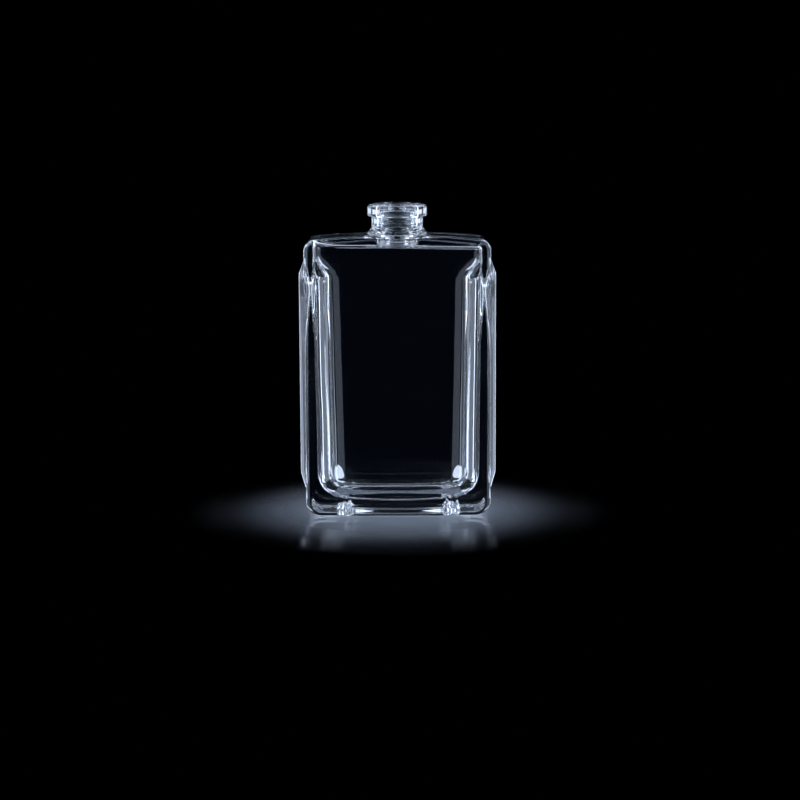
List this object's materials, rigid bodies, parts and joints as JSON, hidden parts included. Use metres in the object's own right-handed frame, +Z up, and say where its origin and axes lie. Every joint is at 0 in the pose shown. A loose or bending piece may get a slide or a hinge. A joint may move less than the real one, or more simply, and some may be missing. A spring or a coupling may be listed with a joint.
{
  "type": "aftershave bottle",
  "caption": "Flat rectangular clear glass aftershave bottle with bevelled side panels, a crimp-bead neck and a pouring plug that pulls out of the bore.",
  "frame": {"origin": "middle of the base, on the surface that the bottle stands on", "axes": "+Z up along the neck, +X across the wide front, +Y from front to back"},
  "size_m": [0.0494, 0.021, 0.0777],
  "materials": {
    "clear_glass": "fire-polished, colourless",
    "natural_polyethylene": "satin, translucent natural"
  },
  "bodies": {
    "bottle": {"glass_bottle": "clear_glass"},
    "plug": {"orifice_reducer": "natural_polyethylene"}
  },
  "joints": [
    {"name": "plug_pull", "type": "slide", "parent": "bottle", "child": "plug", "axis": [0, 0, 1], "range_m": [0, 0.02]}
  ]
}
